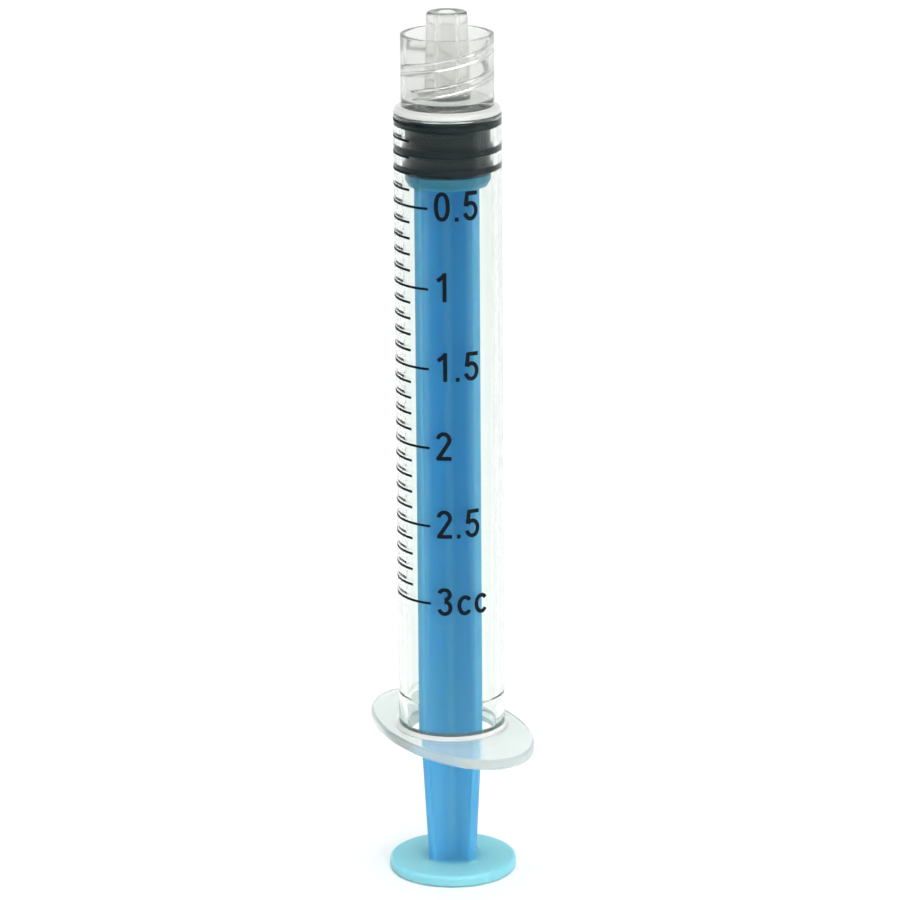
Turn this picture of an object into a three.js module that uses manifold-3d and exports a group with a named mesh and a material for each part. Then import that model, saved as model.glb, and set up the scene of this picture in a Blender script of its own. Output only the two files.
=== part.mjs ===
// A 3 ml disposable Luer-lock syringe, standing on its thumb rest with the plunger pushed fully in.
//
// Millimetres, +Z up through the nozzle. The origin is the bottom centre of the thumb rest, and the
// two finger wings of the barrel point along +X and -X.
//
// Three moulded pieces: a clear barrel with its finger flange, nozzle and threaded lock collar; a
// rubber stopper that seals the bore; and a plunger rod whose barbed head is snapped into the stopper.

import * as THREE from 'three';
import { mergeVertices } from 'three/addons/utils/BufferGeometryUtils.js';
import Module from 'manifold-3d';

const wasm = await Module();
wasm.setup();

// ---------------------------------------------------------------- driving dimensions

const ROUND = 48; // segments of the round surfaces
const THREAD_STEPS = 30; // lengths that each thread ridge is made of
const THREAD_SIDES = 8;

// Barrel tube. The bore holds one millilitre in every 15.97 mm of stroke.
const BORE_R = 4.465;
const TUBE_R_TOP = 5.27;
const TUBE_R_FLANGE = 5.33; // moulding draft
const SHOULDER_Z = 78.6;
const SHOULDER_ROUND = 0.5;
const BORE_END_Z = 77.75; // where the bore wall meets its conical end
const BORE_CONE_TOP_R = 1.9;
const BORE_CONE_TOP_Z = 79.0;
const RECESS_R = 1.6; // a pocket in the nozzle's root that takes the stopper's pip
const RECESS_TOP_Z = 79.85;

// Finger flange: an oval plate.
const FLANGE_HALF_LENGTH = 12.2;
const FLANGE_HALF_WIDTH = 6.8;
const FLANGE_BOTTOM_Z = 14.3;
const FLANGE_TOP_Z = 15.3;
const FLANGE_EDGE = 0.3;
const MOUTH_CHAMFER = 0.35;

// Bead inside the bore that keeps the stopper from being pulled out.
const BEAD_Z = 18.6;
const BEAD_HEIGHT = 0.15;
const BEAD_HALF_WIDTH = 0.35;

// Lock collar and its two-start internal thread, lead 5 mm.
const COLLAR_R = 4.54;
const COLLAR_BORE_R = 4.05;
const COLLAR_TOP_Z = 85.7;
const COLLAR_FLOOR_Z = 79.3;
const COLLAR_EDGE = 0.12;
const THREAD_STARTS = 2;
const THREAD_LEAD = 5;
const THREAD_CREST_R = 3.5;
const THREAD_RIDGE_R = 0.55;
const THREAD_BOTTOM_Z = 79.9;
const THREAD_TOP_Z = 85.1;
const THREAD_START_DEG = 86;

// Nozzle: a 6 % Luer taper, so its radius grows by 0.03 mm per millimetre.
const NOZZLE_TIP_Z = 87.8;
const NOZZLE_TIP_R = 1.985;
const LUER_SLOPE = 0.03;
const NOZZLE_EDGE = 0.25;
const CHANNEL_R = 0.85;

// Stopper: three sealing ribs. Each rib is [bottom, top] of its full-radius band.
const STOPPER_BOTTOM_Z = 72.3;
const STOPPER_RIB_R = 4.4;
const STOPPER_BODY_R = 4.12;
const STOPPER_RIBS = [[72.55, 73.1], [74.25, 74.9], [76.8, 77.45]];
const RIB_FLANK = 0.2;
const STOPPER_NOSE_R = 1.8;
const STOPPER_NOSE_Z = 78.85;
const PIP_R = 1.5; // the pip pushes the last of the dose out of the nozzle's root
const PIP_TOP_Z = 79.75;
const PIP_EDGE = 0.15;
const SOCKET_MOUTH_R = 1.45;
const SOCKET_LIP = 1.0;
const SOCKET_R = 2.2;
const SOCKET_TOP_Z = 75.7;

// Plunger rod: two crossed webs, the thumb rest below and the head disc and barb above.
const THUMB_REST_R = 6.4;
const THUMB_REST_THICKNESS = 1.13;
const THUMB_REST_EDGE = 0.35;
const WEB_THICKNESS = 1.1;
const WEB_TURN_DEG = 15; // the plunger is free to turn, and rests at this angle to the flange
const WEB_R = 3.95; // inside the barrel
const WEB_R_AT_THUMB = 2.95; // outside it the webs taper towards the thumb rest
const WEB_FULL_Z = 15.3;
const WEB_FOOT_Z = 1.9;
const WEB_FOOT_FLARE = 0.3;
const HEAD_DISC_R = 4.2;
const HEAD_DISC_TOP_Z = 72.2;
const HEAD_DISC_BOTTOM_Z = 71.6;
const HEAD_CONE_BOTTOM_Z = 70.9;
const NECK_R = 1.2;
const BARB_R = 1.9;
const BARB_BOTTOM_Z = 73.5;
const BARB_WIDE_Z = 73.9;
const BARB_TOP_Z = 75.4;
const BARB_TOP_R = 1.1;
const OVERLAP = 0.2; // how far joined bodies run into each other before they are made one

// ---------------------------------------------------------------- materials

const clearPlastic = new THREE.MeshStandardMaterial({
  color: 0xe8efea, roughness: 0.12, metalness: 0, transparent: true, opacity: 0.35,
});
const bluePlastic = new THREE.MeshStandardMaterial({ color: 0x4ba3cb, roughness: 0.4, metalness: 0 });
const blackRubber = new THREE.MeshStandardMaterial({ color: 0x1a2a2c, roughness: 0.5, metalness: 0 });

// ---------------------------------------------------------------- geometry helpers

// Turns a closed three.js geometry into a manifold solid, without its zero-area triangles.
function toSolid(geometry) {
  const bare = geometry.clone();
  bare.deleteAttribute('normal');
  bare.deleteAttribute('uv');
  const merged = mergeVertices(bare, 1e-4);
  const index = merged.index.array;
  const triangles = [];
  for (let i = 0; i < index.length; i += 3) {
    const [a, b, c] = [index[i], index[i + 1], index[i + 2]];
    if (a !== b && b !== c && c !== a) triangles.push(a, b, c);
  }
  return new wasm.Manifold(new wasm.Mesh({
    numProp: 3,
    vertProperties: Float32Array.from(merged.attributes.position.array),
    triVerts: Uint32Array.from(triangles),
  }));
}

function toMesh(name, solid, material) {
  const { vertProperties, triVerts } = solid.getMesh();
  const geometry = new THREE.BufferGeometry();
  geometry.setAttribute('position', new THREE.BufferAttribute(vertProperties, 3));
  geometry.setIndex(new THREE.BufferAttribute(triVerts, 1));
  geometry.computeVertexNormals();
  const mesh = new THREE.Mesh(geometry, material);
  mesh.name = name;
  return mesh;
}

// Revolves [radius, height] points about Z. The outline runs up its outer side and down its inner side.
function revolve(outline, segments) {
  const points = outline.map(([radius, height]) => new THREE.Vector2(radius, height));
  return toSolid(new THREE.LatheGeometry(points, segments).rotateX(Math.PI / 2));
}

// Points of a quarter round between two directions, for rounded edges of a revolved outline.
function arc(centreR, centreZ, radius, fromDeg, toDeg, steps) {
  return Array.from({ length: steps + 1 }, (_, i) => {
    const angle = THREE.MathUtils.degToRad(fromDeg + ((toDeg - fromDeg) * i) / steps);
    return [centreR + radius * Math.cos(angle), centreZ + radius * Math.sin(angle)];
  });
}

function closed(outline) {
  return [...outline, outline[0]];
}

// ---------------------------------------------------------------- barrel

function nozzleRadius(z) {
  return NOZZLE_TIP_R + LUER_SLOPE * (NOZZLE_TIP_Z - z);
}

// The tube, its shoulder, the collar and the nozzle as one outline, from the flange's underside up.
function barrelTube() {
  const shoulderArc = arc(
    TUBE_R_TOP - SHOULDER_ROUND, SHOULDER_Z - SHOULDER_ROUND, SHOULDER_ROUND, 0, 90, 3,
  );
  const nozzleArc = arc(NOZZLE_TIP_R - NOZZLE_EDGE, NOZZLE_TIP_Z - NOZZLE_EDGE, NOZZLE_EDGE, 0, 90, 2);
  return revolve(closed([
    [BORE_R + MOUTH_CHAMFER, FLANGE_BOTTOM_Z],
    [TUBE_R_FLANGE, FLANGE_BOTTOM_Z],
    ...shoulderArc,
    [COLLAR_R, SHOULDER_Z],
    [COLLAR_R, COLLAR_TOP_Z - COLLAR_EDGE],
    [COLLAR_R - COLLAR_EDGE, COLLAR_TOP_Z],
    [COLLAR_BORE_R + COLLAR_EDGE, COLLAR_TOP_Z],
    [COLLAR_BORE_R, COLLAR_TOP_Z - COLLAR_EDGE],
    [COLLAR_BORE_R, COLLAR_FLOOR_Z],
    [nozzleRadius(COLLAR_FLOOR_Z), COLLAR_FLOOR_Z],
    ...nozzleArc,
    [CHANNEL_R, NOZZLE_TIP_Z],
    [CHANNEL_R, RECESS_TOP_Z],
    [RECESS_R, RECESS_TOP_Z],
    [RECESS_R, BORE_CONE_TOP_Z],
    [BORE_CONE_TOP_R, BORE_CONE_TOP_Z],
    [BORE_R, BORE_END_Z],
    [BORE_R, BEAD_Z + BEAD_HALF_WIDTH],
    [BORE_R - BEAD_HEIGHT, BEAD_Z],
    [BORE_R, BEAD_Z - BEAD_HALF_WIDTH],
    [BORE_R, FLANGE_BOTTOM_Z + MOUTH_CHAMFER],
  ]), ROUND);
}

// The oval finger flange, with the bore's mouth taken out of it.
function fingerFlange() {
  const oval = new THREE.Shape();
  oval.absellipse(0, 0, FLANGE_HALF_LENGTH, FLANGE_HALF_WIDTH, 0, 2 * Math.PI);
  const plate = new THREE.ExtrudeGeometry(oval, {
    depth: FLANGE_TOP_Z - FLANGE_BOTTOM_Z - 2 * FLANGE_EDGE,
    bevelThickness: FLANGE_EDGE,
    bevelSize: FLANGE_EDGE,
    bevelOffset: -FLANGE_EDGE,
    bevelSegments: 2,
    curveSegments: ROUND / 2,
  });
  plate.translate(0, 0, FLANGE_BOTTOM_Z + FLANGE_EDGE);
  const middleR = (BORE_R + TUBE_R_FLANGE) / 2;
  const opening = new THREE.CylinderGeometry(middleR, middleR, 3, ROUND);
  opening.rotateX(Math.PI / 2);
  opening.rotateZ(Math.PI / 2);
  opening.translate(0, 0, FLANGE_BOTTOM_Z);
  return toSolid(plate).subtract(toSolid(opening));
}

// The path along which one ridge of the collar's right-hand thread runs.
class ThreadPath extends THREE.Curve {
  constructor(startDeg) {
    super();
    this.start = THREE.MathUtils.degToRad(startDeg);
  }

  getPoint(t) {
    const rise = (THREAD_TOP_Z - THREAD_BOTTOM_Z) * t;
    const angle = this.start + (2 * Math.PI * rise) / THREAD_LEAD;
    const radius = THREAD_CREST_R + THREAD_RIDGE_R;
    return new THREE.Vector3(radius * Math.cos(angle), radius * Math.sin(angle), THREAD_BOTTOM_Z + rise);
  }
}

function threadRidge(start) {
  const section = new THREE.Shape();
  section.absarc(0, 0, THREAD_RIDGE_R, 0, 2 * Math.PI);
  return toSolid(new THREE.ExtrudeGeometry(section, {
    steps: THREAD_STEPS,
    curveSegments: THREAD_SIDES,
    extrudePath: new ThreadPath(THREAD_START_DEG + (360 / THREAD_STARTS) * start),
  }));
}

// Keeps the ridges from standing out through the collar's outer wall.
function collarSleeve() {
  const outer = (COLLAR_R + COLLAR_BORE_R) / 2;
  return revolve([
    [0, COLLAR_FLOOR_Z],
    [outer, COLLAR_FLOOR_Z],
    [outer, COLLAR_TOP_Z],
    [0, COLLAR_TOP_Z],
  ], ROUND);
}

function makeBarrel() {
  const sleeve = collarSleeve();
  let barrel = barrelTube().add(fingerFlange());
  for (let start = 0; start < THREAD_STARTS; start += 1) {
    barrel = barrel.add(threadRidge(start).intersect(sleeve));
  }
  return toMesh('barrel', barrel, clearPlastic);
}

// ---------------------------------------------------------------- stopper

function ribOutline([bottom, top]) {
  return [
    [STOPPER_BODY_R, bottom - RIB_FLANK],
    [STOPPER_RIB_R, bottom],
    [STOPPER_RIB_R, top],
    [STOPPER_BODY_R, top + RIB_FLANK],
  ];
}

// From the top of the socket, down its wall, round the outside and up to the pip.
function makeStopper() {
  const lipTopZ = STOPPER_BOTTOM_Z + SOCKET_LIP;
  const solid = revolve([
    [0, SOCKET_TOP_Z],
    [SOCKET_R * 0.6, SOCKET_TOP_Z],
    [SOCKET_R, SOCKET_TOP_Z - 0.7],
    [SOCKET_R, lipTopZ],
    [SOCKET_MOUTH_R, lipTopZ],
    [SOCKET_MOUTH_R, STOPPER_BOTTOM_Z],
    [STOPPER_BODY_R, STOPPER_BOTTOM_Z],
    ...STOPPER_RIBS.flatMap(ribOutline),
    [STOPPER_NOSE_R, STOPPER_NOSE_Z],
    [PIP_R, STOPPER_NOSE_Z],
    [PIP_R, PIP_TOP_Z - PIP_EDGE],
    [PIP_R - PIP_EDGE, PIP_TOP_Z],
    [0, PIP_TOP_Z],
  ], ROUND);
  return toMesh('stopper', solid, blackRubber);
}

// ---------------------------------------------------------------- plunger rod

// One web, mirrored about the axis: narrow at the thumb rest, full width inside the barrel.
function web(turnDeg) {
  const side = [
    [WEB_R_AT_THUMB + WEB_FOOT_FLARE, THUMB_REST_THICKNESS - OVERLAP],
    [WEB_R_AT_THUMB + WEB_FOOT_FLARE, THUMB_REST_THICKNESS],
    [WEB_R_AT_THUMB, WEB_FOOT_Z],
    [WEB_R, WEB_FULL_Z],
    [WEB_R, HEAD_DISC_BOTTOM_Z + OVERLAP],
  ];
  const otherSide = side.map(([radius, height]) => [-radius, height]).reverse();
  const shape = new THREE.Shape([...side, ...otherSide].map(([x, y]) => new THREE.Vector2(x, y)));
  const plate = new THREE.ExtrudeGeometry(shape, { depth: WEB_THICKNESS, bevelEnabled: false });
  plate.translate(0, 0, -WEB_THICKNESS / 2);
  plate.rotateX(Math.PI / 2);
  plate.rotateZ(THREE.MathUtils.degToRad(turnDeg));
  return toSolid(plate);
}

function thumbRest() {
  const rimR = THUMB_REST_R - THUMB_REST_EDGE;
  return revolve([
    [0, 0],
    ...arc(rimR, THUMB_REST_EDGE, THUMB_REST_EDGE, -90, 0, 3),
    ...arc(rimR, THUMB_REST_THICKNESS - THUMB_REST_EDGE, THUMB_REST_EDGE, 0, 90, 3),
    [0, THUMB_REST_THICKNESS],
  ], ROUND);
}

// The disc that pushes the stopper, and the barbed head that is snapped into its socket.
function rodHead() {
  return revolve([
    [0, HEAD_CONE_BOTTOM_Z],
    [WEB_R - OVERLAP, HEAD_CONE_BOTTOM_Z],
    [HEAD_DISC_R, HEAD_DISC_BOTTOM_Z],
    [HEAD_DISC_R, HEAD_DISC_TOP_Z],
    [NECK_R, HEAD_DISC_TOP_Z],
    [NECK_R, BARB_BOTTOM_Z],
    [BARB_R, BARB_WIDE_Z],
    [BARB_TOP_R, BARB_TOP_Z],
    [0, BARB_TOP_Z],
  ], ROUND);
}

function makePlungerRod() {
  const rod = thumbRest().add(web(WEB_TURN_DEG)).add(web(WEB_TURN_DEG + 90)).add(rodHead());
  return toMesh('plunger_rod', rod, bluePlastic);
}

// ---------------------------------------------------------------- assembly

const syringe = new THREE.Group();
syringe.add(makeBarrel(), makeStopper(), makePlungerRod());

export default syringe;
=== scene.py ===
import math

import bmesh
import bpy
from mathutils import Matrix, Vector


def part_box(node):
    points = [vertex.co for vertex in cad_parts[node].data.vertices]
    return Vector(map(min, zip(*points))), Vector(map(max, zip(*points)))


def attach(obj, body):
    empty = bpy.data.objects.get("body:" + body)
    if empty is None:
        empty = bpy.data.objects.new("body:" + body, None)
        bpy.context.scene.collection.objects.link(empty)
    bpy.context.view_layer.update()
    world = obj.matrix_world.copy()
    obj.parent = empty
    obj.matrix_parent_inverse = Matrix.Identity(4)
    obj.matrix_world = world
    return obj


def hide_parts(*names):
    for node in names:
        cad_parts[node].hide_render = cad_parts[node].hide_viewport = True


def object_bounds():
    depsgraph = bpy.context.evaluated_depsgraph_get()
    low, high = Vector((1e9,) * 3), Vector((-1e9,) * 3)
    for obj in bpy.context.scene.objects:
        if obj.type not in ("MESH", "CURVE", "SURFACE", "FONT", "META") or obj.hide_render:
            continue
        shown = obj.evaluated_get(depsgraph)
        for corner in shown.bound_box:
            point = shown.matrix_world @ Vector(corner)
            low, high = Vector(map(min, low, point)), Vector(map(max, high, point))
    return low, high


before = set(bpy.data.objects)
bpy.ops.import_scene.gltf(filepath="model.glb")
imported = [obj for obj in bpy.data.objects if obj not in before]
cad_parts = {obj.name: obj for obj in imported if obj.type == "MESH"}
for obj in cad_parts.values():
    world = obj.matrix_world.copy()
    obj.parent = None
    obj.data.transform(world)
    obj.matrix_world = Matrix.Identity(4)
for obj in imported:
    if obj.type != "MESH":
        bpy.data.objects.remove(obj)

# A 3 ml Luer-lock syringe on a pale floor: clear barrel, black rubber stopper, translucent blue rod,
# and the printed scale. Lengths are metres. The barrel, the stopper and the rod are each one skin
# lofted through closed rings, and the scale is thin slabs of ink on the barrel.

cad_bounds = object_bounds()

# ---------------------------------------------------------------- sizes from the frame

MM = 0.001

barrel_low, barrel_high = (Vector(corner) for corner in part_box("barrel"))
stopper_low, stopper_high = (Vector(corner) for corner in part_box("stopper"))
rod_low, rod_high = (Vector(corner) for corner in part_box("plunger_rod"))

# Barrel
FLANGE_HALF_LENGTH = barrel_high.x
FLANGE_HALF_WIDTH = barrel_high.y
FLANGE_BOTTOM = barrel_low.z
FLANGE_THICKNESS = 1.0 * MM
FLANGE_TOP = FLANGE_BOTTOM + FLANGE_THICKNESS
FLANGE_EDGE = 0.3 * MM
FOOT_FILLET = 0.4 * MM  # where the tube grows out of the flange
NOZZLE_TIP = barrel_high.z
COLLAR_TOP = NOZZLE_TIP - 2.1 * MM
COLLAR_FLOOR = COLLAR_TOP - 6.4 * MM
SHOULDER = COLLAR_TOP - 7.1 * MM
BORE_END = SHOULDER - 0.85 * MM
BORE_CONE_TOP = SHOULDER + 0.4 * MM

BORE_R = 4.465 * MM
TUBE_R_TOP = 5.27 * MM
TUBE_R_FLANGE = 5.33 * MM
SHOULDER_ROUND = 0.5 * MM
BORE_CONE_TOP_R = 1.9 * MM
RECESS_R = 1.6 * MM
RECESS_TOP = BORE_CONE_TOP + 0.85 * MM
BEAD_Z = FLANGE_BOTTOM + 4.3 * MM
BEAD_HEIGHT = 0.05 * MM
BEAD_HALF_WIDTH = 0.35 * MM
MOUTH_CHAMFER = 0.35 * MM

COLLAR_R = 4.54 * MM
COLLAR_BORE_R = 4.05 * MM
COLLAR_EDGE = 0.12 * MM
COLLAR_FILLET = 0.12 * MM  # where the collar stands on the shoulder
FLOOR_FILLET = 0.2 * MM  # round the collar's floor
NOZZLE_TIP_R = 1.985 * MM
LUER_SLOPE = 0.03
NOZZLE_EDGE = 0.25 * MM
CHANNEL_R = 0.85 * MM

# Lock thread: two starts, right-handed
THREAD_STARTS = 2
THREAD_LEAD = 5 * MM
THREAD_BOTTOM = COLLAR_FLOOR + 0.6 * MM
THREAD_TOP = COLLAR_TOP - 0.9 * MM
THREAD_START_ANGLE = math.radians(86)
THREAD_HEIGHT = 0.55 * MM
THREAD_CREST_HALF = 0.18 * MM
THREAD_ROOT_HALF = 0.55 * MM
THREAD_RUN_OUT = 0.5 * MM

# Stopper
SEAL_R = BORE_R + 0.02 * MM  # squeezed rubber wets the wall, so it reaches a little into it
STOPPER_BODY_R = 4.14 * MM
STOPPER_BOTTOM = stopper_low.z
PIP_TOP = stopper_high.z
STOPPER_NOSE = PIP_TOP - 0.9 * MM
PIP_R = RECESS_R + 0.01 * MM
PIP_EDGE = 0.15 * MM
STOPPER_NOSE_R = 1.8 * MM
SOCKET_R = 2.2 * MM
SOCKET_MOUTH_R = 1.45 * MM
SOCKET_LIP = 1.0 * MM
SOCKET_DEPTH = 3.4 * MM
RIB_BANDS = [(0.22, 0.78), (1.98, 2.62), (4.48, 5.18)]  # mm above the stopper's bottom

# Plunger rod
THUMB_R = rod_high.x
THUMB_THICKNESS = 1.13 * MM
THUMB_EDGE = 0.35 * MM
WEB_TURN = math.radians(15)
WEB_HALF_ROOT = 0.6 * MM
WEB_HALF_TIP = 0.46 * MM
WEB_R = 3.95 * MM
WEB_R_AT_THUMB = 2.95 * MM
WEB_FILLET = 0.8 * MM  # in the corner between two webs
WEB_CORNER = 0.25 * MM
ROD_FOOT_FILLET = 0.35 * MM
HEAD_R = 4.2 * MM
HEAD_TOP = STOPPER_BOTTOM - 0.1 * MM
HEAD_BOTTOM = HEAD_TOP - 0.6 * MM
HEAD_CONE_BOTTOM = HEAD_TOP - 1.3 * MM
NECK_R = 1.2 * MM
BARB_R = 1.9 * MM
BARB_LOW = HEAD_TOP + 1.3 * MM
BARB_TOP = rod_high.z

# Printed scale
BORE_AREA = math.pi * (BORE_R / MM) ** 2  # square millimetres
MM_PER_ML = 1000 / BORE_AREA
SCALE_ZERO = BORE_END - 0.28 * MM
NUMBER_RISE = 0.26 * MM  # the figures' middles stand above their marks
INK_DEPTH = 0.01 * MM  # how far the ink reaches into the wall
INK_HEIGHT = 0.02 * MM  # how far it stands out of it

# ---------------------------------------------------------------- mesh helpers

TURN = 2 * math.pi
ROUND = 192


def circle_angles(count):
    return [TURN * i / count for i in range(count)]


def ring(angles, radius, z):
    """A closed ring about the Z axis; radius is a length or a function of the angle."""
    radii = [radius(a) if callable(radius) else radius for a in angles]
    return [Vector((r * math.cos(a), r * math.sin(a), z)) for r, a in zip(radii, angles)]


def arc(centre_r, centre_z, radius, start_deg, end_deg, steps):
    """Points of an arc in the plane, such as that of radius and height."""
    points = []
    for i in range(steps + 1):
        a = math.radians(start_deg + (end_deg - start_deg) * i / steps)
        points.append((centre_r + radius * math.cos(a), centre_z + radius * math.sin(a)))
    return points


def between(a, b, steps):
    """The points strictly between two, at even steps."""
    return [
        tuple(p + (q - p) * i / steps for p, q in zip(a, b))
        for i in range(1, steps)
    ]


def loft(name, rings, closed):
    """One skin through rings of equal length. A closed skin joins its last ring to its first;
    an open one is capped with a fan at each end."""
    mesh = bpy.data.meshes.new(name)
    bm = bmesh.new()
    rows = [[bm.verts.new(point) for point in points] for points in rings]
    pairs = list(zip(rows, rows[1:]))
    if closed:
        pairs.append((rows[-1], rows[0]))
    for low, high in pairs:
        for i in range(len(low)):
            j = (i + 1) % len(low)
            bm.faces.new((low[i], low[j], high[j], high[i]))
    if not closed:
        for row, flipped in ((rows[0], True), (rows[-1], False)):
            centre = bm.verts.new(sum((v.co for v in row), Vector()) / len(row))
            for i in range(len(row)):
                j = (i + 1) % len(row)
                corners = (row[j], row[i], centre) if flipped else (row[i], row[j], centre)
                bm.faces.new(corners)
    for face in bm.faces:
        face.smooth = True
    bm.normal_update()
    bm.to_mesh(mesh)
    bm.free()
    piece = bpy.data.objects.new(name, mesh)
    bpy.context.scene.collection.objects.link(piece)
    crisp = piece.modifiers.new("crisp_edges", "WEIGHTED_NORMAL")
    crisp.mode = "FACE_AREA"
    crisp.weight = 60
    return piece


def smooth_step(value):
    t = min(max(value, 0.0), 1.0)
    return t * t * (3 - 2 * t)


# ---------------------------------------------------------------- barrel


def oval(angle):
    """The flange's outline: its distance from the axis at this angle."""
    across = FLANGE_HALF_WIDTH * math.cos(angle)
    along = FLANGE_HALF_LENGTH * math.sin(angle)
    return FLANGE_HALF_LENGTH * FLANGE_HALF_WIDTH / math.hypot(across, along)


def tube_radius(z):
    share = (z - FLANGE_TOP) / (SHOULDER - FLANGE_TOP)
    return TUBE_R_FLANGE + (TUBE_R_TOP - TUBE_R_FLANGE) * share


def nozzle_radius(z):
    return NOZZLE_TIP_R + LUER_SLOPE * (NOZZLE_TIP - z)


def thread_height(angle, z):
    """How far the lock thread stands in from the collar's wall at this place."""
    height = 0.0
    for start in range(THREAD_STARTS):
        first = THREAD_START_ANGLE + TURN * start / THREAD_STARTS
        turned = (angle - first) % TURN
        for lap in range(2):
            centre = THREAD_BOTTOM + THREAD_LEAD * (turned / TURN + lap)
            end_gap = min(centre - THREAD_BOTTOM, THREAD_TOP - centre)
            run_out = smooth_step(end_gap / THREAD_RUN_OUT)
            off = abs(z - centre)
            flank = (THREAD_ROOT_HALF - off) / (THREAD_ROOT_HALF - THREAD_CREST_HALF)
            height = max(height, THREAD_HEIGHT * run_out * smooth_step(flank))
    return height


def flange_rings(angles):
    """From the bore's mouth, out under the flange, round its rim and back to the tube."""
    mouth = BORE_R + MOUTH_CHAMFER
    under = [
        ring(angles, lambda a, s=s: mouth + (oval(a) - FLANGE_EDGE - mouth) * s, FLANGE_BOTTOM)
        for s in (0, 0.25, 0.5, 0.75, 0.94)
    ]
    rim = []
    low_arc = arc(0, FLANGE_BOTTOM + FLANGE_EDGE, FLANGE_EDGE, -90, 0, 5)
    high_arc = arc(0, FLANGE_TOP - FLANGE_EDGE, FLANGE_EDGE, 0, 90, 5)
    for out, z in low_arc + high_arc:
        rim.append(ring(angles, lambda a, out=out: oval(a) - FLANGE_EDGE + out, z))
    neck = TUBE_R_FLANGE + FOOT_FILLET
    top = [
        ring(angles, lambda a, s=s: neck + (oval(a) - FLANGE_EDGE - neck) * s, FLANGE_TOP)
        for s in (0.94, 0.7, 0.4, 0.15)
    ]
    fillet = arc(neck, FLANGE_TOP + FOOT_FILLET, FOOT_FILLET, 270, 180, 6)
    foot = [ring(angles, r, z) for r, z in fillet]
    return under + rim + top + foot


def tube_outline():
    """The tube's outside and its shoulder, up to the collar's foot."""
    start = (TUBE_R_FLANGE, FLANGE_TOP + FOOT_FILLET)
    end_z = SHOULDER - SHOULDER_ROUND
    walls = between(start, (tube_radius(end_z), end_z), 14)
    edge = arc(TUBE_R_TOP - SHOULDER_ROUND, end_z, SHOULDER_ROUND, 0, 90, 8)
    foot = arc(COLLAR_R + COLLAR_FILLET, SHOULDER + COLLAR_FILLET, COLLAR_FILLET, 270, 180, 4)
    return walls + edge + foot


def collar_outline():
    """Up the collar's outside and over its rim."""
    top = COLLAR_TOP - COLLAR_EDGE
    wall = between((COLLAR_R, SHOULDER + COLLAR_FILLET), (COLLAR_R, top), 8)
    outer_edge = arc(COLLAR_R - COLLAR_EDGE, top, COLLAR_EDGE, 0, 90, 4)
    inner_edge = arc(COLLAR_BORE_R + COLLAR_EDGE, top, COLLAR_EDGE, 90, 180, 4)
    return wall + outer_edge + inner_edge


def thread_rings(angles):
    """Down the collar's inside wall, with the two ridges standing out of it."""
    top = COLLAR_TOP - COLLAR_EDGE
    bottom = COLLAR_FLOOR + FLOOR_FILLET
    rows = 72
    rings = []
    for i in range(1, rows):
        z = top + (bottom - top) * i / rows
        rings.append(ring(angles, lambda a, z=z: COLLAR_BORE_R - thread_height(a, z), z))
    return rings


def nozzle_outline():
    """Across the collar's floor, up the nozzle, and down its channel to the bore."""
    root_r = nozzle_radius(COLLAR_FLOOR)
    fillet_z = COLLAR_FLOOR + FLOOR_FILLET
    corner = arc(COLLAR_BORE_R - FLOOR_FILLET, fillet_z, FLOOR_FILLET, 0, -90, 4)
    root = arc(root_r + FLOOR_FILLET, fillet_z, FLOOR_FILLET, 270, 180, 4)
    tip_z = NOZZLE_TIP - NOZZLE_EDGE
    cone = between((nozzle_radius(root[-1][1]), root[-1][1]), (nozzle_radius(tip_z), tip_z), 8)
    tip = arc(NOZZLE_TIP_R - NOZZLE_EDGE, tip_z, NOZZLE_EDGE, 0, 90, 6)
    lip = 0.1 * MM
    mouth = arc(CHANNEL_R + lip, NOZZLE_TIP - lip, lip, 90, 180, 3)
    channel = between((CHANNEL_R, NOZZLE_TIP - lip), (CHANNEL_R, RECESS_TOP + lip), 8)
    inlet = arc(CHANNEL_R + lip, RECESS_TOP + lip, lip, 180, 270, 3)
    recess = [
        *arc(RECESS_R - lip, RECESS_TOP - lip, lip, 90, 0, 3),
        (RECESS_R, BORE_CONE_TOP + 0.5 * lip),
        (RECESS_R + 0.5 * lip, BORE_CONE_TOP),
    ]
    return corner + root + cone + tip + mouth + channel + inlet + recess


def bore_outline():
    """Down the conical end, the bore, over the retaining bead and out at the mouth."""
    ease = 0.25 * MM  # the length of the soft corner between the cone and the bore
    cone = [
        (BORE_CONE_TOP_R, BORE_CONE_TOP),
        (BORE_R - ease, BORE_END + 0.06 * MM),
        (BORE_R - 0.3 * ease, BORE_END - 0.06 * MM),
        (BORE_R, BORE_END - ease),
    ]
    bead_top = BEAD_Z + BEAD_HALF_WIDTH
    wall = between((BORE_R, BORE_END - ease), (BORE_R, bead_top), 16)
    bead = []
    steps = 8
    for i in range(steps + 1):
        share = i / steps
        z = bead_top - 2 * BEAD_HALF_WIDTH * share
        bead.append((BORE_R - BEAD_HEIGHT * math.sin(math.pi * share) ** 2, z))
    mouth_z = FLANGE_BOTTOM + MOUTH_CHAMFER
    lower = between((BORE_R, BEAD_Z - BEAD_HALF_WIDTH), (BORE_R, mouth_z), 3)
    mouth = arc(BORE_R + MOUTH_CHAMFER, mouth_z, MOUTH_CHAMFER, 180, 270, 5)[:-1]
    return cone + wall + bead + lower + mouth


def make_barrel():
    angles = circle_angles(ROUND)
    rings = flange_rings(angles)
    rings += [ring(angles, r, z) for r, z in tube_outline() + collar_outline()]
    rings += thread_rings(angles)
    rings += [ring(angles, r, z) for r, z in nozzle_outline() + bore_outline()]
    return loft("barrel_clear", rings, closed=True)


# The places of the barrel's finishes in its material slots
TUBE_FINISH, COLLAR_FINISH, FLANGE_FINISH, CLOUDY_FINISH = range(4)


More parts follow.
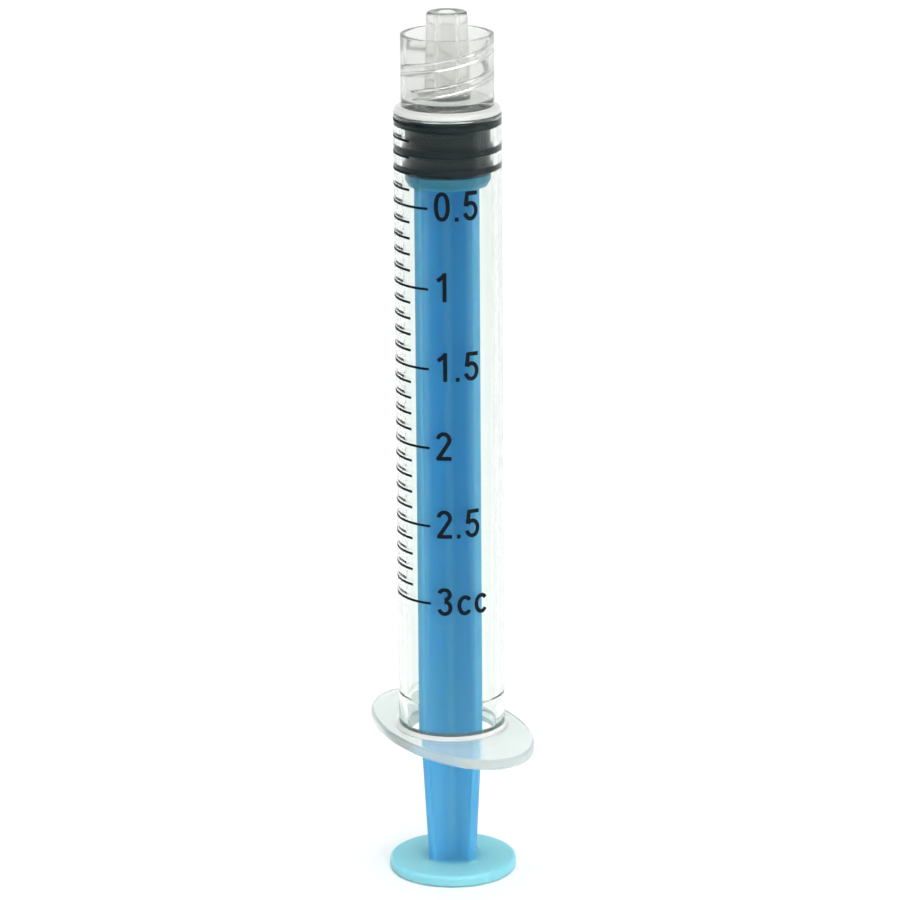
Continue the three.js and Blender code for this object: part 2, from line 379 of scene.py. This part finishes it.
def finish_at(reach, height):
    """Which finish the moulding has at this distance from the axis and this height."""
    margin = 0.05 * MM
    on_shoulder = (
        reach > COLLAR_R - margin
        and SHOULDER - SHOULDER_ROUND < height < SHOULDER + COLLAR_FILLET + 0.01 * MM
    )
    on_floor = reach > nozzle_radius(COLLAR_FLOOR) and abs(height - COLLAR_FLOOR) < 3 * margin
    on_foot = (
        reach > TUBE_R_FLANGE - margin
        and FLANGE_TOP + 0.01 * MM < height < FLANGE_TOP + FOOT_FILLET + margin
    )
    if on_shoulder or on_floor or on_foot:
        return CLOUDY_FINISH
    if height > SHOULDER - SHOULDER_ROUND:
        return COLLAR_FINISH
    if height < FLANGE_TOP + FOOT_FILLET:
        return FLANGE_FINISH
    return TUBE_FINISH


def choose_finish(piece):
    """The moulding is polished along the tube, finely frosted at the collar and the flange, and
    cloudy at the shoulder, the collar's floor and the fillet round the tube's foot."""
    for face in piece.data.polygons:
        face.material_index = finish_at(face.center.xy.length, face.center.z)


# ---------------------------------------------------------------- stopper


def rib_outline(low, high):
    """One sealing rib: a fillet, a sloping flank, and the band that the bore flattens."""
    low_z = STOPPER_BOTTOM + low * MM
    high_z = STOPPER_BOTTOM + high * MM
    flank = 0.16 * MM
    shoulder = 0.05 * MM
    rise = SEAL_R - STOPPER_BODY_R
    return [
        (STOPPER_BODY_R, low_z - flank - shoulder),
        (STOPPER_BODY_R + 0.15 * rise, low_z - flank),
        (STOPPER_BODY_R + 0.85 * rise, low_z - shoulder),
        (SEAL_R, low_z),
        (SEAL_R, high_z),
        (STOPPER_BODY_R + 0.85 * rise, high_z + shoulder),
        (STOPPER_BODY_R + 0.15 * rise, high_z + flank),
        (STOPPER_BODY_R, high_z + flank + shoulder),
    ]


def socket_outline():
    """From the middle of the socket's top, down its wall, over its lip and out under the stopper."""
    top = STOPPER_BOTTOM + SOCKET_DEPTH
    lip_top = STOPPER_BOTTOM + SOCKET_LIP
    edge = 0.15 * MM
    return [
        (0.4 * SOCKET_R, top),
        (0.75 * SOCKET_R, top - 0.15 * MM),
        (SOCKET_R, top - 0.7 * MM),
        (SOCKET_R, lip_top),
        (SOCKET_MOUTH_R, lip_top),
        *arc(SOCKET_MOUTH_R + edge, STOPPER_BOTTOM + edge, edge, 180, 270, 3),
        (STOPPER_BODY_R - 0.3 * MM, STOPPER_BOTTOM),
    ]


def nose_outline(body_top):
    """From the top of the last rib, over the cone and the pip, to the middle."""
    body_edge = 0.12 * MM
    nose_edge = 0.1 * MM
    return [
        *arc(STOPPER_BODY_R - body_edge, body_top, body_edge, 0, 60, 3),
        *arc(STOPPER_NOSE_R - nose_edge, STOPPER_NOSE - nose_edge, nose_edge, 30, 90, 3),
        (PIP_R, STOPPER_NOSE + 0.04 * MM),
        (PIP_R, PIP_TOP - PIP_EDGE),
        *arc(PIP_R - PIP_EDGE, PIP_TOP - PIP_EDGE, PIP_EDGE, 30, 90, 3),
        (0.5 * PIP_R, PIP_TOP),
        (0.1 * PIP_R, PIP_TOP),
    ]


def make_stopper():
    outline = socket_outline()
    for low, high in RIB_BANDS:
        outline += rib_outline(low, high)
    outline += nose_outline(outline[-1][1])
    angles = circle_angles(ROUND)
    return loft("stopper_rubber", [ring(angles, r, z) for r, z in outline], closed=False)


# ---------------------------------------------------------------- plunger rod


def half_web(reach, grow):
    """Half of one web's outline in the plane, from the corner it shares with its neighbour to its
    tip. grow fattens it, for the fillets at its ends."""
    root = WEB_HALF_ROOT + grow
    tip = WEB_HALF_TIP + grow
    reach = reach + grow
    centre = root + WEB_FILLET
    points = arc(centre, centre, WEB_FILLET, 225, 270, 3)
    side_end = reach - WEB_CORNER
    first, last = math.atan2(root, centre), math.atan2(tip, side_end)
    steps = 8
    for i in range(1, steps + 1):
        angle = first + (last - first) * i / steps
        x = min(root / math.tan(angle), side_end)
        slope = (x - centre) / (side_end - centre)
        points.append((x, root + (tip - root) * slope))
    return points + arc(side_end, tip - WEB_CORNER, WEB_CORNER, 90, 0, 4)[1:]


def web_ring(reach, z, grow=0.0):
    """The cross-shaped section of the rod as a ring."""
    half = half_web(reach, grow)
    one_web = [(x, -y) for x, y in half] + [(reach + grow, 0.0)] + half[:0:-1]
    points = []
    for quarter in range(4):
        turn = Matrix.Rotation(WEB_TURN + quarter * TURN / 4, 3, "Z")
        points += [turn @ Vector((x, y, 0)) + Vector((0, 0, z)) for x, y in one_web]
    return points


def round_ring(like, radius, z):
    """A round ring whose points lie at the same angles as those of another ring."""
    return [Vector((p.x, p.y, 0)).normalized() * radius + Vector((0, 0, z)) for p in like]


def mix_rings(a, b, share):
    return [p.lerp(q, share) for p, q in zip(a, b)]


def web_reach(z):
    """The webs taper towards the thumb rest below the barrel, and are parallel inside it."""
    share = (z - THUMB_THICKNESS) / (FLANGE_TOP - THUMB_THICKNESS)
    return WEB_R_AT_THUMB + (WEB_R - WEB_R_AT_THUMB) * min(max(share, 0.0), 1.0)


def thumb_rest_rings(like):
    rim = THUMB_R - THUMB_EDGE
    outline = [(0.3 * rim, 0.0), (0.65 * rim, 0.0)]
    outline += arc(rim, THUMB_EDGE, THUMB_EDGE, -90, 0, 5)
    outline += arc(rim, THUMB_THICKNESS - THUMB_EDGE, THUMB_EDGE, 0, 90, 5)
    return [round_ring(like, r, z) for r, z in outline]


def foot_rings(top_of_rest):
    """From the thumb rest's top face in to the webs, up a small fillet."""
    rings = []
    first = web_ring(web_reach(THUMB_THICKNESS), THUMB_THICKNESS, ROD_FOOT_FILLET)
    for share in (0.3, 0.6, 0.85):
        rings.append(mix_rings(top_of_rest, first, share))
    steps = 5
    for i in range(steps + 1):
        a = math.radians(90 * i / steps)
        grow = ROD_FOOT_FILLET * (1 - math.sin(a))
        z = THUMB_THICKNESS + ROD_FOOT_FILLET * (1 - math.cos(a))
        rings.append(web_ring(web_reach(z), z, grow))
    return rings


def head_rings(like):
    """The disc that pushes the stopper and the barb inside it."""
    edge = 0.12 * MM
    outline = [
        (WEB_R - 0.1 * MM, HEAD_CONE_BOTTOM + 0.05 * MM),
        (HEAD_R - 0.05 * MM, HEAD_BOTTOM - 0.06 * MM),
        (HEAD_R, HEAD_BOTTOM + 0.04 * MM),
        *arc(HEAD_R - edge, HEAD_TOP - edge, edge, 0, 90, 4),
        (0.6 * HEAD_R, HEAD_TOP),
        *arc(NECK_R + edge, HEAD_TOP + edge, edge, 270, 180, 3),
        (NECK_R, BARB_LOW),
        (BARB_R, BARB_LOW + 0.35 * MM),
        (BARB_R, BARB_LOW + 0.5 * MM),
        (0.7 * BARB_R, BARB_TOP - 0.3 * MM),
        (0.5 * BARB_R, BARB_TOP),
    ]
    return [round_ring(like, r, z) for r, z in outline]


def make_rod():
    like = web_ring(WEB_R, 0.0)
    rings = thumb_rest_rings(like)
    rings += foot_rings(rings[-1])
    first_z = THUMB_THICKNESS + ROD_FOOT_FILLET
    steps = 30
    for i in range(1, steps):
        z = first_z + (FLANGE_TOP - first_z) * i / steps
        rings.append(web_ring(web_reach(z), z))
    for i in range(steps + 1):
        z = FLANGE_TOP + (HEAD_CONE_BOTTOM - FLANGE_TOP) * i / steps
        rings.append(web_ring(WEB_R, z))
    cone = head_rings(like)
    rings.append(mix_rings(rings[-1], cone[0], 0.5))
    return loft("rod_blue", rings + cone, closed=False)


# ---------------------------------------------------------------- printed scale


def height_of(tenths):
    """Where a volume stands on the scale, which starts at the end of the bore."""
    return SCALE_ZERO - MM_PER_ML * MM * tenths / 10


def stroke(points, width, closed=False):
    """Pairs of points either side of a centre line: the two edges of a printed stroke."""
    edges = []
    last = len(points) - 1
    for i, (x, y) in enumerate(points):
        if closed:
            before, after = points[i - 1], points[(i + 1) % len(points)]
        else:
            before, after = points[max(i - 1, 0)], points[min(i + 1, last)]
        along_x, along_y = after[0] - before[0], after[1] - before[1]
        length = math.hypot(along_x, along_y)
        out_x, out_y = along_y / length * width / 2, -along_x / length * width / 2
        edges.append(((x - out_x, y - out_y), (x + out_x, y + out_y)))
    return edges


def print_stroke(bm, edges, turn, closed=False):
    """Lays a stroke round the barrel as a thin closed slab. x runs round from the angle turn."""
    rows = []
    for one, other in edges:
        row = []
        section = [(one, -INK_DEPTH), (other, -INK_DEPTH), (other, INK_HEIGHT), (one, INK_HEIGHT)]
        for (x, z), height in section:
            surface = tube_radius(z)
            angle = turn + x / surface
            radius = surface + height
            row.append(bm.verts.new((radius * math.cos(angle), radius * math.sin(angle), z)))
        rows.append(row)
    pairs = list(zip(rows, rows[1:]))
    if closed:
        pairs.append((rows[-1], rows[0]))
    else:
        bm.faces.new(rows[0][::-1])
        bm.faces.new(rows[-1])
    for a, b in pairs:
        for i in range(4):
            j = (i + 1) % 4
            bm.faces.new((a[i], a[j], b[j], b[i]))


def line(start, end, steps=6):
    return [start, *between(start, end, steps), end]


def bowl(x, y, half_width, half_height, start_deg, end_deg, square=2.0):
    """Part of an oval. square above 2 fills its corners."""
    steps = max(4, round(abs(end_deg - start_deg) / 9))
    points = []
    for i in range(steps + 1):
        a = math.radians(start_deg + (end_deg - start_deg) * i / steps)
        c, s = math.cos(a), math.sin(a)
        reach = (abs(c) ** square + abs(s) ** square) ** (-1 / square)
        points.append((x + half_width * reach * c, y + half_height * reach * s))
    return points


# Each figure is drawn as centre lines, in cap heights: (points, closed). The pen is PEN wide.
PEN = 0.138
HALF_PEN = PEN / 2
FIGURE_WIDTH = 0.53
MIDDLE = FIGURE_WIDTH / 2
ARM = MIDDLE - HALF_PEN


def figure_0():
    return [(bowl(MIDDLE, 0.5, ARM, 0.5 - HALF_PEN, 0, 360, 2.35)[:-1], True)]


def figure_1():
    stem = line((0.335, 1.0), (0.335, 0.0), 8)
    flag = [(0.33, 0.93), (0.25, 0.84), (0.17, 0.775), (0.085, 0.73)]
    return [(stem, False), (flag, False)]


def figure_2():
    top = bowl(MIDDLE, 0.72, ARM, 0.28 - HALF_PEN, 172, -28)
    slope = line(top[-1], (0.1, 0.1), 6)[1:]
    base = line((0.015, HALF_PEN), (FIGURE_WIDTH, HALF_PEN), 8)
    return [(top + slope, False), (base, False)]


def figure_3():
    upper = bowl(MIDDLE - 0.01, 0.755, ARM - 0.015, 0.245 - HALF_PEN, 165, -88)
    lower = bowl(MIDDLE - 0.005, 0.285, ARM, 0.285 - HALF_PEN, 92, -165)
    return [(upper, False), (lower, False)]


def figure_5():
    bar = line((0.115, 1 - HALF_PEN), (0.5, 1 - HALF_PEN), 6)
    stem = line((0.145, 0.98), (0.085, 0.5), 6)
    curve = bowl(MIDDLE - 0.01, 0.335, ARM + 0.005, 0.335 - HALF_PEN, 140, -165)
    return [(bar, False), (stem, False), (curve, False)]


def figure_point():
    return [(line((0.0, HALF_PEN), (0.13, HALF_PEN), 2), False)]


def letter_c():
    return [(bowl(0.27, 0.36, 0.27 - HALF_PEN, 0.36 - HALF_PEN, 38, 322), False)]


# Each figure's drawing and how far it moves the pen on
FIGURES = {
    "0": (figure_0, 0.69),
    "1": (figure_1, 0.69),
    "2": (figure_2, 0.69),
    "3": (figure_3, 0.69),
    "5": (figure_5, 0.69),
    ".": (figure_point, 0.29),
    "c": (letter_c, 0.615),
}
NUMBERS = {5: "0.5", 10: "1", 15: "1.5", 20: "2", 25: "2.5", 30: "3cc"}
CAP_HEIGHT = 2.9 * MM
PRINT_TURN = math.radians(-27)  # which way round the barrel the scale faces
NUMBER_TURN = PRINT_TURN - math.radians(15)
TICK_TURN = PRINT_TURN - math.radians(97)
SHORT_TICK = math.radians(52)
LONG_TICK = math.radians(75)
TICK_WIDTH = 0.25 * MM


def print_number(bm, text, middle_z):
    pen_x = 0.0
    for letter in text:
        figure, advance = FIGURES[letter]
        for points, closed in figure():
            edges = [
                tuple(
                    ((pen_x + x) * CAP_HEIGHT, middle_z + (y - 0.5) * CAP_HEIGHT)
                    for x, y in pair
                )
                for pair in stroke(points, PEN, closed)
            ]
            print_stroke(bm, edges, NUMBER_TURN, closed)
        pen_x += advance


def print_tick(bm, z, sweep):
    length = sweep * tube_radius(z)
    points = line((0.0, z), (length, z), 44)
    edges = stroke(points, TICK_WIDTH)
    print_stroke(bm, edges, TICK_TURN)


def ink_piece(name, draw):
    mesh = bpy.data.meshes.new(name)
    bm = bmesh.new()
    draw(bm)
    bmesh.ops.recalc_face_normals(bm, faces=bm.faces)
    bm.to_mesh(mesh)
    bm.free()
    piece = bpy.data.objects.new(name, mesh)
    bpy.context.scene.collection.objects.link(piece)
    return piece


def draw_ticks(bm):
    """A mark every 0.1 ml, and a longer one every 0.5 ml."""
    for tenths in range(31):
        sweep = LONG_TICK if tenths % 5 == 0 else SHORT_TICK
        print_tick(bm, height_of(tenths), sweep)


def draw_numbers(bm):
    for tenths, text in NUMBERS.items():
        print_number(bm, text, height_of(tenths) + NUMBER_RISE)


# ---------------------------------------------------------------- materials


def new_material(name):
    material = bpy.data.materials.new(name)
    material.use_nodes = True
    nodes = material.node_tree.nodes
    nodes.clear()
    output = nodes.new("ShaderNodeOutputMaterial")
    shader = nodes.new("ShaderNodeBsdfPrincipled")
    return material, nodes, material.node_tree.links, shader, output


def noise_bump(nodes, links, shader, scale, strength, distance):
    """A fine procedural unevenness of the surface."""
    place = nodes.new("ShaderNodeTexCoord")
    noise = nodes.new("ShaderNodeTexNoise")
    noise.inputs["Scale"].default_value = scale
    noise.inputs["Detail"].default_value = 3.0
    bump = nodes.new("ShaderNodeBump")
    bump.inputs["Strength"].default_value = strength
    bump.inputs["Distance"].default_value = distance
    links.new(place.outputs["Object"], noise.inputs["Vector"])
    links.new(noise.outputs["Fac"], bump.inputs["Height"])
    links.new(bump.outputs["Normal"], shader.inputs["Normal"])


def combine(nodes, links, operation, one, other):
    """The result of a Math node fed by two sockets."""
    node = nodes.new("ShaderNodeMath")
    node.operation = operation
    links.new(one, node.inputs[0])
    links.new(other, node.inputs[1])
    return node.outputs["Value"]


PLASTIC_IOR = 1.49
GLARE = 0.12  # share of the plain plastic's head-on reflection that is kept


def clear_plastic(name, tint, milk, roughness, bump_scale, bump, depth, density):
    """Clear moulding. milk is the share of it that is cloudy; depth is its colour where it is thick,
    and density how soon that colour shows."""
    material, nodes, links, shader, output = new_material(name)
    shader.inputs["Base Color"].default_value = (*tint, 1)
    shader.inputs["IOR"].default_value = PLASTIC_IOR
    shader.inputs["Transmission Weight"].default_value = 1 - milk
    shader.inputs["Specular Tint"].default_value = (GLARE, GLARE, GLARE, 1)
    shader.inputs["Roughness"].default_value = roughness
    noise_bump(nodes, links, shader, scale=bump_scale, strength=bump, distance=0.02 * MM)
    # Rays from lamps and from matt surfaces pass straight through, so that the parts inside are lit.
    clear = nodes.new("ShaderNodeBsdfTransparent")
    clear.inputs["Color"].default_value = (0.93, 0.96, 0.945, 1)
    path = nodes.new("ShaderNodeLightPath")
    shadow, diffuse = path.outputs["Is Shadow Ray"], path.outputs["Is Diffuse Ray"]
    mix = nodes.new("ShaderNodeMixShader")
    links.new(combine(nodes, links, "MAXIMUM", shadow, diffuse), mix.inputs["Fac"])
    links.new(shader.outputs["BSDF"], mix.inputs[1])
    links.new(clear.outputs["BSDF"], mix.inputs[2])
    links.new(mix.outputs["Shader"], output.inputs["Surface"])
    wall = nodes.new("ShaderNodeVolumeAbsorption")
    wall.inputs["Color"].default_value = (*depth, 1)
    wall.inputs["Density"].default_value = density
    links.new(wall.outputs["Volume"], output.inputs["Volume"])
    return material


def barrel_finishes():
    """The finishes in the order of their places, from TUBE_FINISH to CLOUDY_FINISH."""
    green = (0.5, 0.7, 0.6)
    grey = (0.6, 0.6, 0.57)
    return [
        clear_plastic(
            "clear_tube", tint=(0.94, 0.955, 0.94), milk=0.006, roughness=0.03,
            bump_scale=260, bump=0.015, depth=green, density=100,
        ),
        clear_plastic(
            "clear_collar", tint=(0.9, 0.905, 0.89), milk=0.06, roughness=0.12,
            bump_scale=900, bump=0.2, depth=grey, density=80,
        ),
        clear_plastic(
            "clear_flange", tint=(0.9, 0.955, 0.93), milk=0.22, roughness=0.12,
            bump_scale=700, bump=0.2, depth=green, density=12,
        ),
        clear_plastic(
            "clear_shoulder", tint=(0.92, 0.93, 0.91), milk=0.7, roughness=0.2,
            bump_scale=700, bump=0.2, depth=grey, density=40,
        ),
    ]


def ramp(nodes, links, source, low, high, low_value, high_value):
    """A smooth change of value from low_value at low to high_value at high."""
    change = nodes.new("ShaderNodeMapRange")
    change.interpolation_type = "SMOOTHSTEP"
    change.inputs["From Min"].default_value = low
    change.inputs["From Max"].default_value = high
    change.inputs["To Min"].default_value = low_value
    change.inputs["To Max"].default_value = high_value
    links.new(source, change.inputs["Value"])
    return change.outputs["Result"]


def tint_mix(nodes, links, share, one, other):
    """Blends the colour one towards the colour other. one is a colour or a socket."""
    mix = nodes.new("ShaderNodeMix")
    mix.data_type = "RGBA"
    if isinstance(one, tuple):
        mix.inputs["A"].default_value = (*one, 1)
    else:
        links.new(one, mix.inputs["A"])
    mix.inputs["B"].default_value = (*other, 1)
    links.new(share, mix.inputs["Factor"])
    return mix.outputs["Result"]


DEEP_BLUE = (0.014, 0.28, 0.6)
# The pale blue of the rod's painted glow: painted light.
GLOW_BLUE = (0.27, 0.63, 0.71)
# The dark blue of the painted shade at the disc.
DISC_SHADE_BLUE = (0.018, 0.22, 0.35)


def blue_plastic():
    """Translucent blue, deep in the middle, with painted light and painted shade in its colour: a
    painted glow, paler at the webs' edges, towards the thumb rest and on its top, painted shade near
    the webs' feet, and painted shade at the disc for the black stopper behind it."""
    material, nodes, links, shader, output = new_material("blue_plastic")
    place = nodes.new("ShaderNodeTexCoord")
    split = nodes.new("ShaderNodeSeparateXYZ")
    links.new(place.outputs["Object"], split.inputs["Vector"])
    height = split.outputs["Z"]
    flat = nodes.new("ShaderNodeVectorMath")
    flat.operation = "MULTIPLY"
    flat.inputs[1].default_value = (1, 1, 0)
    links.new(place.outputs["Object"], flat.inputs[0])
    length = nodes.new("ShaderNodeVectorMath")
    length.operation = "LENGTH"
    links.new(flat.outputs["Vector"], length.inputs[0])
    reach = length.outputs["Value"]

    # Each of these is how far the deep blue has gone towards the pale glow colour, from 0 to 1: painted
    # light, held back by painted shade in places.
    # Painted glow: the webs' outer edges paler, for light shining through them.
    edge = ramp(nodes, links, reach, 2.6 * MM, WEB_R, 0, 0.35)
    # Painted light: the rod paler towards the thumb rest, fading out by three times the flange's
    # height.
    taper = ramp(nodes, links, height, THUMB_THICKNESS, 3 * FLANGE_TOP, 0.32, 0)
    rod_glow = combine(nodes, links, "MAXIMUM", edge, taper)
    # Painted glow on the thumb rest's top, for light through it from the floor, held back near the
    # webs' feet by painted shade.
    rest = ramp(nodes, links, height, THUMB_THICKNESS, THUMB_THICKNESS + 0.4 * MM, 1, 0)
    rim = ramp(nodes, links, reach, 1.5 * MM, 3.4 * MM, 0.3, 1)
    thin = combine(nodes, links, "MULTIPLY", rest, rim)
    pale = combine(nodes, links, "MAXIMUM", rod_glow, thin)
    # Painted shade: the disc darkened, for the black stopper behind it.
    disc = ramp(nodes, links, height, HEAD_CONE_BOTTOM - 0.5 * MM, HEAD_BOTTOM, 0, 1)
    glowing_blue = tint_mix(nodes, links, pale, DEEP_BLUE, GLOW_BLUE)
    links.new(tint_mix(nodes, links, disc, glowing_blue, DISC_SHADE_BLUE), shader.inputs["Base Color"])

    shader.inputs["Subsurface Weight"].default_value = 0.85
    shader.inputs["Subsurface Radius"].default_value = (0.25, 0.9, 1.5)
    shader.inputs["Subsurface Scale"].default_value = 1.0 * MM
    shader.inputs["IOR"].default_value = PLASTIC_IOR
    shader.inputs["Roughness"].default_value = 0.38
    shader.inputs["Specular IOR Level"].default_value = 0.35
    noise_bump(nodes, links, shader, scale=900, strength=0.12, distance=0.02 * MM)
    links.new(shader.outputs["BSDF"], output.inputs["Surface"])
    return material


def black_rubber():
    material, nodes, links, shader, output = new_material("black_rubber")
    shader.inputs["Base Color"].default_value = (0.005, 0.014, 0.016, 1)
    shader.inputs["Roughness"].default_value = 0.3
    shader.inputs["Specular IOR Level"].default_value = 0.14
    noise_bump(nodes, links, shader, scale=1500, strength=0.05, distance=0.02 * MM)
    links.new(shader.outputs["BSDF"], output.inputs["Surface"])
    return material


def printed_ink():
    material, nodes, links, shader, output = new_material("printed_ink")
    shader.inputs["Base Color"].default_value = (0.002, 0.006, 0.012, 1)
    shader.inputs["Roughness"].default_value = 0.6
    shader.inputs["Specular IOR Level"].default_value = 0.1
    noise_bump(nodes, links, shader, scale=2500, strength=0.2, distance=0.01 * MM)
    links.new(shader.outputs["BSDF"], output.inputs["Surface"])
    return material


def floor_paint():
    material, nodes, links, shader, output = new_material("pale_floor")
    shader.inputs["Base Color"].default_value = (0.93, 0.93, 0.93, 1)
    shader.inputs["Roughness"].default_value = 0.6
    noise_bump(nodes, links, shader, scale=40, strength=0.03, distance=0.1 * MM)
    links.new(shader.outputs["BSDF"], output.inputs["Surface"])
    return material


# ---------------------------------------------------------------- stage, light and camera


# The sky's brightness in three bands, and the heights (0 level, 1 straight up) where they blend
HORIZON_LIGHT = 1.0
MIDDLE_LIGHT = 0.1
OVERHEAD_LIGHT = 3.6
HORIZON_BLEND = (0.2, 0.35)
OVERHEAD_BLEND = (0.78, 0.9)


def make_floor():
    bpy.ops.mesh.primitive_plane_add(size=6, location=(0, 0, 0))
    floor = bpy.context.object
    floor.name = "floor"
    floor.data.materials.append(floor_paint())


def make_world():
    """A bright horizon and a bright patch overhead, which lights the floor, with a dim band between."""
    world = bpy.data.worlds.new("studio")
    world.use_nodes = True
    nodes, links = world.node_tree.nodes, world.node_tree.links
    background = nodes["Background"]
    place = nodes.new("ShaderNodeTexCoord")
    split = nodes.new("ShaderNodeSeparateXYZ")
    links.new(place.outputs["Generated"], split.inputs["Vector"])
    height = split.outputs["Z"]
    horizon = ramp(nodes, links, height, *HORIZON_BLEND, HORIZON_LIGHT - MIDDLE_LIGHT, 0)
    overhead = ramp(nodes, links, height, *OVERHEAD_BLEND, MIDDLE_LIGHT, OVERHEAD_LIGHT)
    links.new(combine(nodes, links, "ADD", horizon, overhead), background.inputs["Strength"])
    background.inputs["Color"].default_value = (1, 1, 1, 1)
    bpy.context.scene.world = world


def direction(azimuth_deg, elevation_deg):
    """The way to go from the object. Azimuth 0 is towards -Y, and 90 towards +X."""
    azimuth = math.radians(azimuth_deg)
    elevation = math.radians(elevation_deg)
    return Vector((
        math.sin(azimuth) * math.cos(elevation),
        -math.cos(azimuth) * math.cos(elevation),
        math.sin(elevation),
    ))


CAMERA_AZIMUTH = 63
CAMERA_ELEVATION = 16.25
CAMERA_DISTANCE = 0.4289
CAMERA_ROLL = 0.43
CAMERA_LENS = 173.5


def softbox(name, right, elevation, distance, width, height, power, target, spread=180):
    """A rectangular lamp. right is how far round to the right of the camera it stands, in degrees."""
    data = bpy.data.lights.new(name, "AREA")
    data.shape = "RECTANGLE"
    data.size = width
    data.size_y = height
    data.energy = power
    data.spread = math.radians(spread)
    lamp = bpy.data.objects.new(name, data)
    lamp.location = target + direction(CAMERA_AZIMUTH + right, elevation) * distance
    lamp.rotation_euler = (target - lamp.location).to_track_quat("-Z", "Y").to_euler()
    bpy.context.scene.collection.objects.link(lamp)


def make_lights(target):
    softbox(
        "right", right=72, elevation=12, distance=0.26,
        width=0.10, height=0.26, power=0.11, target=target,
    )
    softbox(
        "left", right=-100, elevation=30, distance=0.4,
        width=0.15, height=0.26, power=0.05, target=target,
    )
    softbox(
        "front", right=18, elevation=14, distance=0.6,
        width=0.2, height=0.1, power=0.022, target=Vector((0, 0, 0.02)), spread=14,
    )


def make_camera(target):
    data = bpy.data.cameras.new("camera")
    data.sensor_width = 36
    data.lens = CAMERA_LENS
    data.clip_start = 0.01
    camera = bpy.data.objects.new("camera", data)
    camera.location = target + direction(CAMERA_AZIMUTH, CAMERA_ELEVATION) * CAMERA_DISTANCE
    look = (target - camera.location).to_track_quat("-Z", "Y")
    roll = Matrix.Rotation(math.radians(-CAMERA_ROLL), 4, "Z")
    camera.matrix_world = Matrix.Translation(camera.location) @ look.to_matrix().to_4x4() @ roll
    bpy.context.scene.collection.objects.link(camera)
    bpy.context.scene.camera = camera


# ---------------------------------------------------------------- assembly

centre = Vector((0, 0, (cad_bounds[0][2] + cad_bounds[1][2]) / 2))

make_world()
make_floor()
make_lights(centre)
make_camera(centre)
bpy.context.scene.view_settings.view_transform = "Standard"

barrel = make_barrel()
for finish in barrel_finishes():
    barrel.data.materials.append(finish)
choose_finish(barrel)
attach(barrel, "barrel")
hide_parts("barrel")

stopper = make_stopper()
stopper.data.materials.append(black_rubber())
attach(stopper, "stopper")
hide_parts("stopper")

rod = make_rod()
rod.data.materials.append(blue_plastic())
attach(rod, "plunger")
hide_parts("plunger_rod")

ink = printed_ink()
for piece in (ink_piece("scale_marks", draw_ticks), ink_piece("scale_numbers", draw_numbers)):
    piece.data.materials.append(ink)
    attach(piece, "barrel")
